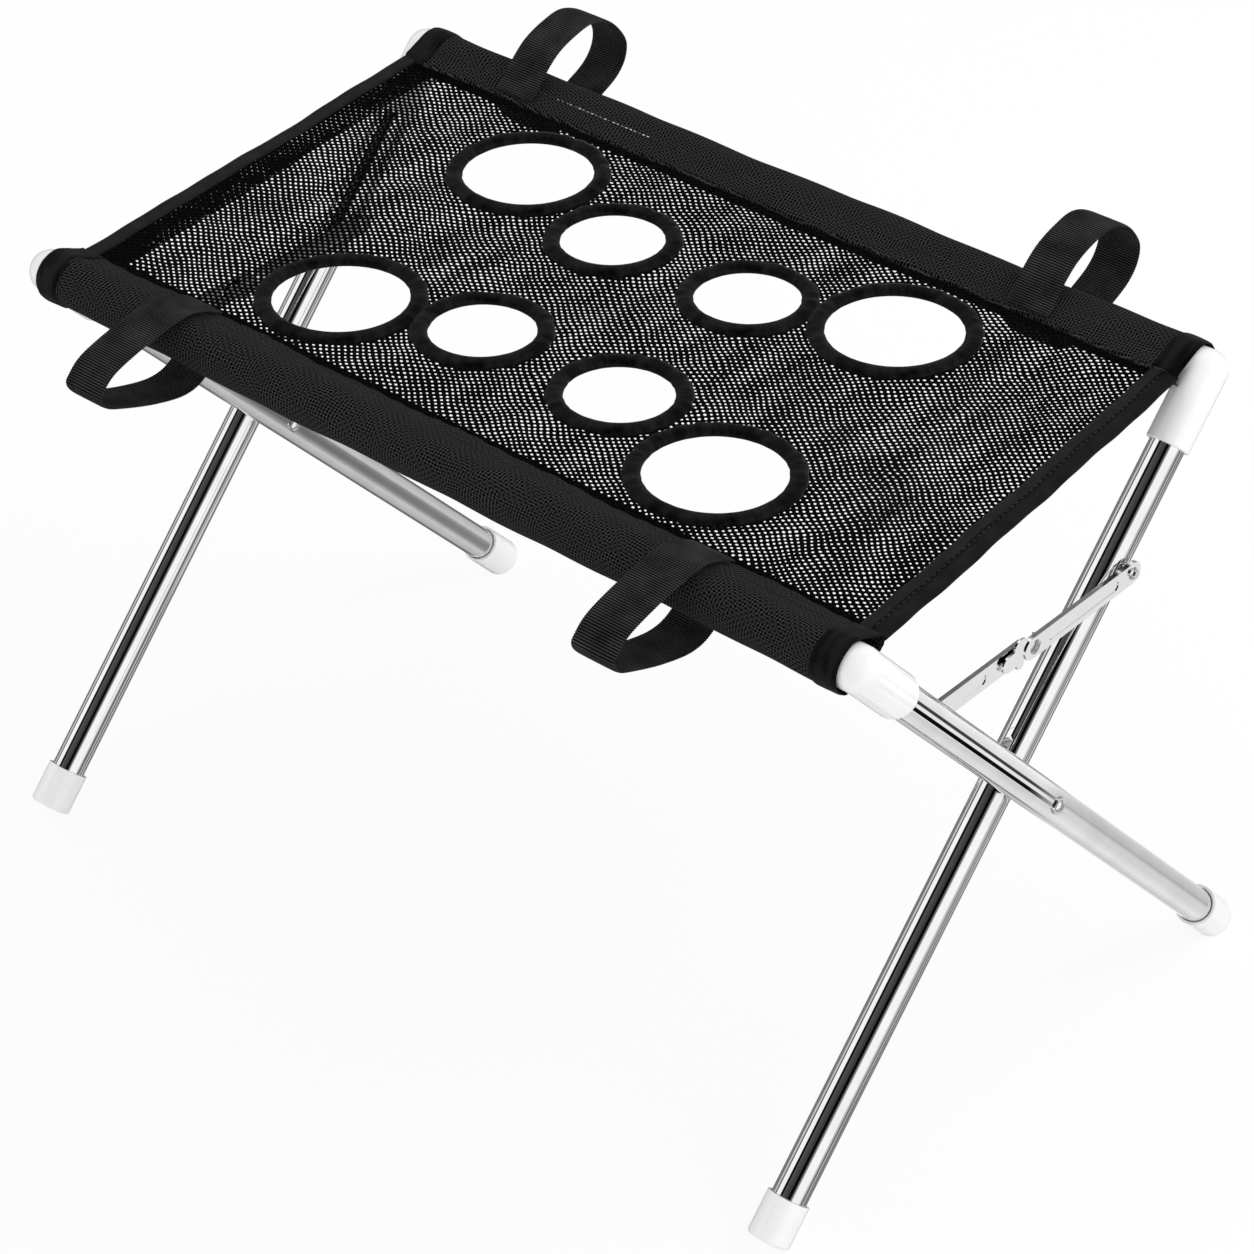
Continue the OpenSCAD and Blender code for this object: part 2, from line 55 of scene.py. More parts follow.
# ---------------------------------------------------------------- camera
# Looks down on the near right corner from a few metres off, with a long lens.
CAMERA_AZIMUTH, CAMERA_HEIGHT, CAMERA_ROLL = map(math.radians, (41.27, 36.0, -0.24))
CAMERA_DISTANCE = 2.3484
CAMERA_TARGET = Vector((0.01054, 0, 0.18101))
CAMERA_SENSOR, CAMERA_LENS = 36, 108.4
CAMERA_SHIFT_X, CAMERA_SHIFT_Y = -0.0031, 0.0186
CAMERA_SIGHT = 60

back = Vector((
    math.sin(CAMERA_AZIMUTH) * math.cos(CAMERA_HEIGHT),
    -math.cos(CAMERA_AZIMUTH) * math.cos(CAMERA_HEIGHT),
    math.sin(CAMERA_HEIGHT),
))
level = Vector((math.cos(CAMERA_AZIMUTH), math.sin(CAMERA_AZIMUTH), 0))
upright = back.cross(level)
right = level * math.cos(CAMERA_ROLL) + upright * math.sin(CAMERA_ROLL)
up = upright * math.cos(CAMERA_ROLL) - level * math.sin(CAMERA_ROLL)
place = Matrix((right, up, back)).transposed().to_4x4()
place.translation = CAMERA_TARGET + back * CAMERA_DISTANCE
camera = bpy.data.objects.new("camera", bpy.data.cameras.new("camera"))
camera.matrix_world = place
camera.data.sensor_width = CAMERA_SENSOR
camera.data.lens = CAMERA_LENS
camera.data.shift_x = CAMERA_SHIFT_X
camera.data.shift_y = CAMERA_SHIFT_Y
camera.data.clip_end = CAMERA_SIGHT
scene.collection.objects.link(camera)
scene.camera = camera

# ---------------------------------------------------------------- legs and rails
# Thin steel tube, 22 mm across, polished and chromed. Each leg pair crosses at a
# rivet, and the rails lie hidden in the cloth sleeves.


class Wire:
    """A socket in a node tree. Sums and products add Math nodes, and add() any other node."""

    def __init__(self, tree, socket=None):
        self.tree, self.socket = tree, socket

    def add(self, kind, inputs=None, out=0, stops=None, **settings):
        node = self.tree.nodes.new(kind)
        for name, value in settings.items():
            setattr(node, name, value)
        if stops:
            ramp = node.color_ramp
            while len(ramp.elements) < len(stops):
                ramp.elements.new(1)
            for element, (where, colour) in zip(ramp.elements, stops):
                element.position = where
                element.color = (*colour, 1)
        for key, value in (inputs or {}).items():
            if isinstance(value, Wire):
                self.tree.links.new(value.socket, node.inputs[key])
            else:
                node.inputs[key].default_value = value
        return Wire(self.tree, node.outputs[out])

    def maths(self, operation, *values):
        return self.add("ShaderNodeMath", dict(enumerate(values)), operation=operation)

    def __add__(self, other):
        return self.maths("ADD", self, other)

    __radd__ = __add__

    def __sub__(self, other):
        return self.maths("SUBTRACT", self, other)

    def __rsub__(self, other):
        return self.maths("SUBTRACT", other, self)

    def __mul__(self, other):
        return self.maths("MULTIPLY", self, other)

    __rmul__ = __mul__

    def __truediv__(self, other):
        return self.maths("DIVIDE", self, other)

    def __abs__(self):
        return self.maths("ABSOLUTE", self)

    def cos(self):
        return self.maths("COSINE", self)

    def sin(self):
        return self.maths("SINE", self)

    def step(self, low, high):
        """0 below low, 1 above high, smooth between."""
        return self.add(
            "ShaderNodeMapRange",
            {"Value": self, "From Min": low, "From Max": high},
            interpolation_type="SMOOTHSTEP",
        )

    def tint(self, dark, light):
        """A colour from dark to light as this goes from 0 to 1."""
        return self.add(
            "ShaderNodeMix", {0: self, 6: (*dark, 1), 7: (*light, 1)}, out=2, data_type="RGBA"
        )

    def bump(self, strength, depth):
        return self.add("ShaderNodeBump", {"Height": self, "Strength": strength, "Distance": depth})

    def noise(self, scale, detail=2.0, out="Fac"):
        """Soft random patches on these coordinates, about scale of them a metre."""
        settings = {"Vector": self, "Scale": scale, "Detail": detail}
        return self.add("ShaderNodeTexNoise", settings, out)

    def stretched(self, scale, turn=0.0):
        """These coordinates with a scale for each direction, then turned in their plane."""
        settings = {"Vector": self, "Rotation": (0.0, 0.0, turn), "Scale": scale}
        return self.add("ShaderNodeMapping", settings)

    def parts(self):
        """The x, y and z of this vector."""
        split = self.tree.nodes.new("ShaderNodeSeparateXYZ")
        self.tree.links.new(self.socket, split.inputs[0])
        return [Wire(self.tree, o) for o in split.outputs]


def new_material(name, **constants):
    """A Principled material with these constants; returns it and the start of its wires."""
    material = bpy.data.materials.new(name)
    material.use_nodes = True
    shader = material.node_tree.nodes["Principled BSDF"]
    for socket, value in constants.items():
        shader.inputs[socket.replace("_", " ")].default_value = value
    return material, Wire(material.node_tree)


def feed(material, **wires):
    """Links wires to the Principled shader's sockets."""
    shader = material.node_tree.nodes["Principled BSDF"]
    for socket, wire in wires.items():
        material.node_tree.links.new(wire.socket, shader.inputs[socket.replace("_", " ")])


def finish(material, *words):
    """Gives the material to each rigid piece that has one of the words in its name."""
    for name in nodes:
        if any(word in name for word in words):
            nodes[name].data.materials.clear()
            nodes[name].data.materials.append(material)


chrome, wire = new_material("chrome_tube", Metallic=1.0)
spot = wire.add("ShaderNodeTexCoord", out="Object")
haze = spot.noise(38.0, 3.0)
scratch = spot.stretched((900.0, 60.0, 60.0)).noise(1.0)
feed(
    chrome,
    Base_Color=haze.step(0.3, 0.7).tint((0.86, 0.86, 0.87), (0.93, 0.93, 0.935)),
    Roughness=haze.step(0.35, 0.75) * 0.012 + scratch.step(0.55, 0.8) * 0.015 + 0.008,
)
finish(chrome, "_rail", "_leg_")

# ---------------------------------------------------------------- rivets, washers and brace links
# Pressed steel links with rolled edges, pinned with domed rivets, all bright plated.
# The press leaves long soft streaks down each link; the rivets are tumbled, so duller.
for name, dull, streaks, words in (
    ("plated_link", 0.07, 0.16, ("link",)),
    ("plated_rivet", 0.16, 0.0, ("rivet", "washer", "spacer")),
):
    plated, wire = new_material(name, Metallic=1.0)
    spot = wire.add("ShaderNodeTexCoord", out="Object")
    haze = spot.noise(90.0, 4.0)
    streak = spot.stretched((150.0, 9.0, 150.0)).noise(1.0)
    feed(
        plated,
        Base_Color=haze.step(0.3, 0.75).tint((0.84, 0.84, 0.86), (0.92, 0.92, 0.93)),
        Roughness=haze.step(0.3, 0.7) * 0.04 + dull,
        Normal=(streak * streaks + haze * 0.02).bump(0.5, 0.0012),
    )
    finish(plated, *words)

# ---------------------------------------------------------------- elbows and foot caps
# White moulded plastic: elbows take a leg and a rail each, caps are pushed over the feet.
moulded, wire = new_material("white_moulded_plastic", Specular_IOR_Level=0.5)
spot = wire.add("ShaderNodeTexCoord", out="Object")
grain = spot.noise(700.0)
cloud = spot.noise(30.0, 3.0)
feed(
    moulded,
    Base_Color=cloud.step(0.3, 0.7).tint((0.905, 0.905, 0.91), (0.935, 0.935, 0.94)),
    Roughness=cloud.step(0.3, 0.7) * 0.05 + 0.05,
    Normal=grain.bump(0.06, 0.0002),
)
finish(moulded, "_elbow_", "_foot_")

# ---------------------------------------------------------------- sleeves
# The mesh is wrapped double round each rail and sewn back on itself inboard of it,
# which draws the section out to a drop that ends at the seam.
low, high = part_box("back_rail")
RAIL_Y, RAIL_Z = (low.y + high.y) / 2, (low.z + high.z) / 2
SEAM, SEAM_RISE = 0.025, 0.0045
SLEEVE_REACH = math.hypot(SEAM, SEAM_RISE)
SLEEVE_LEAN = math.atan2(SEAM_RISE, SEAM)
SLEEVE_RADIUS, SLEEVE_TIP = 0.0153, 0.0016
SLEEVE_AROUND, SLEEVE_ALONG = 96, 300
LEG_TILT = math.radians(43.2)
SOCKET_RADIUS, SOCKET_TAPER = 0.0137, 0.04
SLEEVE_END = 0.003
SEAM_PULL, SEAM_PULL_PITCH = 0.0002, 0.017
# Each wave of slack in the cloth: its height, and how fast it runs along and round.
SLACK_WAVES = ((0.0004, 31, 0.19), (0.0003, 83, -0.31))


def drop_path(radius, tip, steps):
    """Points (outboard, up) from the seam over the rail and back under it, and the way round."""
    lean = math.acos((radius - tip) / SLEEVE_REACH)
    first = (-SLEEVE_REACH, tip)
    top = (-radius * math.cos(lean), radius * math.sin(lean))
    sweep = 2 * (math.pi - lean)
    straight = math.dist(first, top)
    length = 2 * straight + radius * sweep
    points = []
    for i in range(steps + 1):
        s = length * i / steps
        if straight <= s <= length - straight:
            turn = math.pi - lean - (s - straight) / radius
            points.append((radius * math.cos(turn), radius * math.sin(turn)))
        else:
            k = min(s, length - s) / straight
            out, rise = (a + (b - a) * k for a, b in zip(first, top))
            points.append((out, rise if s < straight else -rise))
    points[0] = points[-1] = (-SLEEVE_REACH, 0.0)
    c, s = math.cos(SLEEVE_LEAN), math.sin(SLEEVE_LEAN)
    return [(out * c + rise * s, rise * c - out * s) for out, rise in points], length


def socket_bite(out, rise):
    """How far in from the leg's axis the cloth is cut back here to let the leg socket out."""
    along = -out * math.sin(LEG_TILT) - rise * math.cos(LEG_TILT)
    aside = out * math.cos(LEG_TILT) - rise * math.sin(LEG_TILT)
    return math.sqrt(max(0.0, SOCKET_RADIUS**2 - aside * aside)) if along > 0 else 0.0


def grid_piece(name, across, along):
    """A flat grid from -1 to 1 each way, to be bent into shape; returns the piece."""
    bpy.ops.object.select_all(action="DESELECT")
    bpy.ops.mesh.primitive_grid_add(x_subdivisions=across, y_subdivisions=along, size=2)
    piece = bpy.context.object
    piece.name = piece.data.name = name
    return piece


def lay_uv(piece, where):
    """Writes each vertex's cloth place, in metres, to the UV map."""
    layer = piece.data.uv_layers.active or piece.data.uv_layers.new(name="cloth")
    layer.name = "cloth"
    for loop in piece.data.loops:
        layer.data[loop.index].uv = where[loop.vertex_index]


def dress(piece, material, slot, *replaced):
    """Smooth shading, finish, and the solids that this piece stands for."""
    piece.data.materials.clear()
    piece.data.materials.append(material)
    for face in piece.data.polygons:
        face.use_smooth = True
    if replaced:
        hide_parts(*replaced)


# The two rows in which the mesh's holes stand cross each other. Each has so many holes
# a metre along the rails, a number by which they crowd toward the right, and so many
# a metre across.
HOLE_ROWS = ((181, 0, 234), (165, 60, -200))


def holes(u, v):
    """1 in the middle of each hole of the mesh, -1 between them."""
    rows = [u * along + u * u * fan + v * across for along, fan, across in HOLE_ROWS]
    return sum((row * (2 * math.pi)).cos() for row in rows) * 0.5


def drifted(u, v, du, dv, far):
    """The cloth place u, v, moved by at most half of far by the random shares du and dv."""
    return u + (du - 0.5) * far, v + (dv - 0.5) * far


# Two layers of the mesh over each other: the lower one's threads fill the upper one's holes.
# The colour paints highlights on the thread crests of both layers and shade on the lower
# threads seen in the upper one's holes, so where the two fall out of step the painted
# light and dark run in curved bands.
double_mesh, wire = new_material("double_black_mesh", Roughness=0.7, Specular_IOR_Level=0.04)
spot = wire.add("ShaderNodeTexCoord", out="UV")
u, v, _ = spot.parts()
du, dv, _ = spot.noise(16.0, out="Color").parts()
upper = holes(*drifted(u * 1.3, v * 1.3, du, dv, 0.012))
lower = holes(*drifted(u * 1.37, v * 1.22, dv, du, 0.026))
# Painted highlight on the thread crests, and painted shade in the upper layer's holes.
hole_shade = upper.step(0.20, 0.45)
crest_highlight = 1 - abs(upper + 0.10).step(0.05, 0.38)
under = 1 - abs(lower - 0.15).step(0.05, 0.45)
height_and_painted_light = crest_highlight * 0.55 + under * (1 - hole_shade * 0.6) * 0.5
feed(
    double_mesh,
    Base_Color=height_and_painted_light.tint((0.0003, 0.0003, 0.0003), (0.062, 0.062, 0.065)),
    Normal=height_and_painted_light.bump(0.6, 0.0006),
)

for side, node in ((1, "back_sleeve"), (-1, "front_sleeve")):
    low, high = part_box(node)
    points, length = drop_path(SLEEVE_RADIUS, SLEEVE_TIP, SLEEVE_AROUND)
    sleeve = grid_piece(node + "_cloth", SLEEVE_ALONG, SLEEVE_AROUND)
    where = []
    for vertex in sleeve.data.vertices:
        i = round((vertex.co.y + 1) / 2 * SLEEVE_AROUND)
        x = low.x + (vertex.co.x + 1) / 2 * (high.x - low.x)
        out, rise = points[i]
        bite = max(0.0, socket_bite(out, rise) - SLEEVE_END)
        x -= bite * max(0.0, (x - high.x) / SOCKET_TAPER + 1)
        x += bite * max(0.0, (low.x - x) / SOCKET_TAPER + 1)
        seam_share = max(0.0, -out / SEAM) ** 2
        tug = x * 2 * math.pi / SEAM_PULL_PITCH + math.sin(x * 41) * 1.7
        pull = SEAM_PULL * math.sin(tug) * seam_share
        slack = sum(h * math.sin(x * along + i * around) for h, along, around in SLACK_WAVES)
        grow = 1 + (slack + pull) / SLEEVE_RADIUS
        vertex.co = (x, side * (RAIL_Y + out * grow), RAIL_Z + rise * grow)
        where.append((x, i / SLEEVE_AROUND * length))
    lay_uv(sleeve, where)
    if side > 0:
        sleeve.data.flip_normals()
    dress(sleeve, double_mesh, "sleeve_fabric", node)
    # Here and below, cloth is left out of reflections, so the tubes don't mirror it.
    sleeve.visible_glossy = False
    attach(sleeve, "back_frame" if side > 0 else "front_frame")

# ---------------------------------------------------------------- mesh top
# One cloth of coated black mesh, cut on a slight slant, sewn to both sleeves, and
# hanging about a millimetre in the middle. Eight round holes are cut through it.
PANEL_HALF = 0.305
SLANT = 0.015
PANEL_Y = RAIL_Y - SEAM
SEAM_LAP = 0.0015
SAG = 0.001
BROAD_RIPPLE, FINE_RIPPLE = 0.0005, 0.0003
TOP_ALONG, TOP_ACROSS = 200, 104
CUT_BACK = 0.005
HOLES = {}
for size, radius in (("large", 0.041), ("small", 0.032)):
    for row in ("back", "front"):
        for end in ("right", "left"):
            name = f"{size}_hole_binding_{row}_{end}"
            low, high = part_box(name)
            HOLES[name] = ((low + high) / 2, radius)


def hang(x, y):
    """Height of the mesh top over the floor at this place."""
    across = y / PANEL_Y
    ripple = BROAD_RIPPLE * math.sin(x * 23 + y * 9) * math.sin(y * 31 + 0.6)
    ripple += FINE_RIPPLE * math.sin(x * 61 - y * 37)
    return RAIL_Z + SEAM_RISE - SAG * (1 - across * across) + ripple * (1 - across**4)


def hang_between(piece):
    """Bakes the piece's place into its mesh."""
    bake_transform(piece)


def open_cloth(name, slide):
    """The see-through mesh. slide moves its holes along, the more the nearer to the front."""
    material, wire = new_material(name, Roughness=0.6, Specular_IOR_Level=0.02)
    plain = wire.add("ShaderNodeTexCoord", out="UV")
    u, v, _ = plain.parts()
    du, dv, _ = plain.noise(20.0, out="Color").parts()
    uneven = plain.noise(230.0, 1.0)
    bands = plain.stretched((55.0, 16.0, 1.0), turn=0.5).noise(1.0)
    along, across = drifted(u, v, du, dv, 0.010)
    weave = holes(along + (PANEL_Y - v) * slide, across) + (uneven - 0.5) * 0.6 + (bands - 0.5) * 0.8
    # Painted light: the threads are lighter on their crowns and darker toward the hole edges.
    crown_highlight, hollow_shade = (0.0028, 0.0028, 0.003), (0.0004, 0.0004, 0.0004)
    feed(
        material,
        Base_Color=(weave + 1).step(0.0, 1.3).tint(crown_highlight, hollow_shade),
        Alpha=1 - weave.step(0.545, 0.665),
        Normal=(1 - weave.step(-0.4, 0.4)).bump(0.5, 0.0005),
    )
    return material


open_mesh = open_cloth("open_black_mesh", 0.0)
top = grid_piece("mesh_top", TOP_ALONG, TOP_ACROSS)
where = []
for vertex in top.data.vertices:
    y = vertex.co.y * (PANEL_Y + SEAM_LAP)
    x = vertex.co.x * PANEL_HALF - SLANT * vertex.co.y
    where.append((x, y))
    vertex.co = (x, y, hang(x, y))
lay_uv(top, where)
bpy.ops.object.mode_set(mode="EDIT")
bpy.ops.mesh.select_mode(type="FACE")
bpy.ops.mesh.select_all(action="DESELECT")
bpy.ops.object.mode_set(mode="OBJECT")
for face in top.data.polygons:
    face.select = any(
        math.dist(face.center.xy, centre.xy) < radius + CUT_BACK for centre, radius in HOLES.values()
    )
bpy.ops.object.mode_set(mode="EDIT")
bpy.ops.mesh.delete(type="FACE")
bpy.ops.object.mode_set(mode="OBJECT")
dress(top, open_mesh, "mesh_fabric", "mesh_panel")
top.visible_glossy = False
hang_between(top)

# ---------------------------------------------------------------- hole bindings
# Each hole's cut edge is wrapped in a rolled band of soft black tape.
TWILL_PITCH = 0.0011
tape, wire = new_material("black_tape", Roughness=0.42, Specular_IOR_Level=0.09)
spot = wire.add("ShaderNodeTexCoord", out="UV")
u, v, _ = spot.parts()
twill = ((u + v) * (2 * math.pi / TWILL_PITCH)).sin() * 0.5 + 0.5
# Painted sheen: the colour is lighter in soft noise patches, standing in for the tape's soft
# highlights.
soft_patches = spot.noise(45.0, 4.0)
crease = spot.stretched((170.0, 40.0, 1.0)).noise(1.0)
painted_light_spots = (soft_patches * 0.5 + crease * 0.5).step(0.40, 0.64)
feed(
    tape,
    Base_Color=painted_light_spots.tint((0.0001, 0.0001, 0.0001), (0.009, 0.009, 0.0095)),
    Normal=(twill * 0.15 + crease * 1.6).bump(0.6, 0.0006),
)

random.seed(7)
RING_WIDTH, RING_THICK = 0.0108, 0.0066
RING_FOLDS = (5, 9, 14, 23, 31)
FOLD_SWELL, FOLD_SHIFT, FOLD_LIFT = 0.02, 0.00022, 0.035
for name, (centre, radius) in HOLES.items():
    middle = radius + RING_WIDTH / 2
    bpy.ops.object.select_all(action="DESELECT")
    bpy.ops.mesh.primitive_torus_add(
        major_segments=144, minor_segments=20, major_radius=middle, minor_radius=RING_WIDTH / 2
    )
    ring = bpy.context.object
    ring.name = ring.data.name = name + "_tape"
    phases = [(n, random.uniform(0, 6.28), random.uniform(0.3, 1)) for n in RING_FOLDS]
    where = []
    for vertex in ring.data.vertices:
        turn = math.atan2(vertex.co.y, vertex.co.x)
        out = math.hypot(vertex.co.x, vertex.co.y) - middle
        fold = sum(a * math.sin(n * turn + p) for n, p, a in phases)
        roll = math.atan2(vertex.co.z, out)
        out *= 1 + FOLD_SWELL * fold
        out += FOLD_SHIFT * fold
        rise = vertex.co.z * RING_THICK / RING_WIDTH * (1 + FOLD_LIFT * fold)
        x = centre.x + (middle + out) * math.cos(turn)
        y = centre.y + (middle + out) * math.sin(turn)
        where.append((turn * middle, roll * RING_WIDTH / 2))
        vertex.co = (x, y, hang(x, y) + rise)
    lay_uv(ring, where)
    dress(ring, tape, "tape", name)
    ring.visible_glossy = False
    hang_between(ring)

# ---------------------------------------------------------------- short edge bindings
# The panel's short edges are folded into a flat tape: a wide one on the right, whose
# outer half is ribbed and which is sewn down its middle, and a plain narrow one on the left.
RIBS_FROM, RIBS_FULL, EDGE_RIB_PITCH = 0.0085, 0.0095, 0.0013
edge_tape, wire = new_material("edge_tape", Roughness=0.5, Specular_IOR_Level=0.10)
spot = wire.add("ShaderNodeTexCoord", out="UV")
u, v, _ = spot.parts()
ribbed = u.step(RIBS_FROM, RIBS_FULL)
rib_height_and_shade = (v * (2 * math.pi / EDGE_RIB_PITCH)).sin() * 0.5 + 0.5
soft_patches = spot.noise(60.0, 4.0)
# Pale specks scattered over the ribbed half.
pale_specks = spot.noise(900.0, 1.0).step(0.72, 0.78)
# Painted shade: the colour darkens in the valleys between the ribs and along the sewn groove.
groove_shade = 1 - abs(u - RIBS_FROM).step(0.0004, 0.0013)
shade = soft_patches * 0.8 + 0.15 - ribbed * (1 - rib_height_and_shade) * 0.45 + ribbed * pale_specks * 1.6 - groove_shade
feed(
    edge_tape,
    Base_Color=shade.tint((0.0004, 0.0004, 0.0004), (0.022, 0.022, 0.023)),
    Normal=(soft_patches * 0.6 + ribbed * rib_height_and_shade).bump(0.4, 0.0004),
)
thread_black, wire = new_material("stitching", Roughness=0.38, Specular_IOR_Level=0.5)
spot = wire.add("ShaderNodeTexCoord", out="Object")
ply = spot.noise(900.0).step(0.45, 0.7)
feed(thread_black, Base_Color=ply.tint((0.0003, 0.0003, 0.0003), (0.02, 0.02, 0.021)))


def sew(name, places, radius, way, slot, cotton):
    """A row of stitches, one at each place, long along x or y."""
    bpy.ops.object.select_all(action="DESELECT")
    bpy.ops.mesh.primitive_uv_sphere_add(segments=8, ring_count=6, radius=radius)
    row = bpy.context.object
    row.name = row.data.name = name
    long, wide, tall = 3.0, 0.9, 0.8
    stretch = Vector((long, wide, tall) if way == "x" else (wide, long, tall))
    shape = [vertex.co * stretch for vertex in row.data.vertices]
    pattern = [tuple(face.vertices) for face in row.data.polygons]
    vertices, faces = [], []
    for place in places:
        faces += [tuple(len(vertices) + k for k in face) for face in pattern]
        vertices += [Vector(place) + corner for corner in shape]
    row.data.clear_geometry()
    row.data.from_pydata(vertices, [], faces)
    dress(row, cotton, slot)
    return row


def squared(share, power):
    """A share from -1 to 1 drawn outwards, which makes a round section flatter."""
    return abs(share) ** power * math.copysign(1, share)


def close_roll():
    """Joins the long edges of the piece that was just rolled up, and turns its faces outwards."""
    bpy.ops.object.mode_set(mode="EDIT")
    bpy.ops.mesh.select_all(action="SELECT")
    bpy.ops.mesh.remove_doubles(threshold=0.00001)
    bpy.ops.mesh.normals_make_consistent(inside=False)
    bpy.ops.object.mode_set(mode="OBJECT")


TAPE_THICK, TAPE_PAST_EDGE, TAPE_PAST_SEAM = 0.0030, 0.0012, 0.0005
TAPE_ROUND, TAPE_LONG = 32, 150
STITCH_PITCH, SEWN_AT, STITCH_HEIGHT, STITCH_MARGIN = 0.0050, 0.45, 0.66, 0.004
GROOVE_WIDTH, GROOVE_DEPTH = 0.07, 0.45
# The narrow tape has no ribs, so its pattern is kept to the part before they start.
PLAIN_SHARE = 0.7
for end, node, width, thread in (
    (1, "end_binding_right", 0.0188, 0.0006),
    (-1, "end_binding_left", 0.0108, 0.0003),
):
    strip = grid_piece(node + "_tape", TAPE_ROUND, TAPE_LONG)
    where = []
    inner = PANEL_HALF + TAPE_PAST_EDGE - width
    for vertex in strip.data.vertices:
        y = vertex.co.y * (PANEL_Y + TAPE_PAST_SEAM)
        roll = math.pi * vertex.co.x
        flat_out = squared(math.cos(roll), 0.45)
        flat_up = squared(math.sin(roll), 0.8)
        from_inner = (1 + end * flat_out) / 2 * width
        wander = 0.00035 * math.sin(y * 70 + end) + 0.0002 * math.sin(y * 173)
        x = end * (inner + from_inner) - SLANT * y / PANEL_Y + wander
        groove = math.exp(-(((from_inner / width - SEWN_AT) / GROOVE_WIDTH) ** 2))
        tight = 0.4 + 0.6 * abs(math.sin(y * math.pi / STITCH_PITCH))
        pinch = 1 - GROOVE_DEPTH * groove * tight
        vertex.co = (x, y, hang(x, y) + flat_up * TAPE_THICK / 2 * pinch)
        where.append((from_inner if end > 0 else from_inner * PLAIN_SHARE, y))
    lay_uv(strip, where)
    close_roll()
    dress(strip, edge_tape, "tape", node)
    strip.visible_glossy = False
    hang_between(strip)

    run = PANEL_Y - STITCH_MARGIN
    count = round(2 * run / STITCH_PITCH)
    seam = []
    for i in range(count):
        y = (2 * (i + 0.5) / count - 1) * run
        x = end * (inner + SEWN_AT * width) - SLANT * y / PANEL_Y
        seam.append((x, y, hang(x, y) + TAPE_THICK / 2 * STITCH_HEIGHT))
    hang_between(sew(node + "_stitches", seam, thread, "y", "tape", thread_black))

# ---------------------------------------------------------------- sleeve seams
# Each sleeve is closed by a row of short stitches along its inboard flank. For a few
# centimetres near the back left loop the stitches are painted pale: painted light where
# the background shows through the needle holes.
# Painted light: pale stitches standing in for the light that shows through the needle holes.
thread_pale, wire = new_material("painted_light_stitching", Roughness=0.6)
spot = wire.add("ShaderNodeTexCoord", out="Object")
ply = spot.noise(300.0).step(0.35, 0.6)
feed(thread_pale, Base_Color=ply.tint((0.03, 0.03, 0.03), (0.85, 0.85, 0.85)))

SEAM_THREAD, SEAM_PITCH, SEAM_MARGIN, SEAM_ROW = 0.0004, 0.0036, 0.012, 12
# Where along the back seam the stitches are painted pale for that light.
LIT_STITCHES_FROM, LIT_STITCHES_TO = -0.195, -0.118
for side, body in ((1, "back_frame"), (-1, "front_frame")):
    out, rise = drop_path(SLEEVE_RADIUS, SLEEVE_TIP, SLEEVE_AROUND)[0][SEAM_ROW]
    run = PANEL_HALF - SEAM_MARGIN
    count = round(2 * run / SEAM_PITCH)
    y, z = side * (RAIL_Y + out), RAIL_Z + rise + SEAM_THREAD / 2
    seam = [((2 * (i + 0.5) / count - 1) * run - side * SLANT, y, z) for i in range(count)]
    painted_light_spots = [place for place in seam if side > 0 and LIT_STITCHES_FROM < place[0] < LIT_STITCHES_TO]
    sound = [place for place in seam if place not in painted_light_spots]
    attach(sew(body + "_seam_stitches", sound, SEAM_THREAD, "x", "sleeve_fabric", thread_black), body)
    if painted_light_spots:
        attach(sew(body + "_painted_light_stitches", painted_light_spots, SEAM_THREAD, "x", "sleeve_fabric", thread_pale), body)

# ---------------------------------------------------------------- hems
# Along the left short edge the mesh is turned under, so two layers lie over each other
# and close each other's holes toward the front. Along both sleeve seams a narrow
# allowance of doubled mesh is left inside.
HEM_WIDTH, HEM_DROP, HEM_GRID = 0.030, 0.0009, 0.003
SEAM_HEM, SEAM_TUCK = 0.0065, 0.0035
TURNED_SLIDE = 0.0083
turned_mesh = open_cloth("turned_black_mesh", TURNED_SLIDE)
for name, cloth, x0, x1, y0, y1 in (
    ("left_hem", turned_mesh, -PANEL_HALF, HEM_WIDTH - PANEL_HALF, -PANEL_Y, PANEL_Y),
    ("back_seam_hem", double_mesh, -PANEL_HALF, PANEL_HALF, PANEL_Y - SEAM_HEM, PANEL_Y + SEAM_TUCK),
    ("front_seam_hem", double_mesh, -PANEL_HALF, PANEL_HALF, -PANEL_Y - SEAM_TUCK, SEAM_HEM - PANEL_Y),
):
    hem = grid_piece(name, round((x1 - x0) / HEM_GRID), round((y1 - y0) / HEM_GRID))
    where = []
    for vertex in hem.data.vertices:
        y = y0 + (vertex.co.y + 1) / 2 * (y1 - y0)
        x = x0 + (vertex.co.x + 1) / 2 * (x1 - x0) - SLANT * y / PANEL_Y
        where.append((x, y))
        vertex.co = (x, y, hang(x, y) - HEM_DROP)
    lay_uv(hem, where)
    dress(hem, cloth, "mesh_fabric")
    hem.visible_glossy = False
    hang_between(hem)
    x1 - x0
    y1 - y0

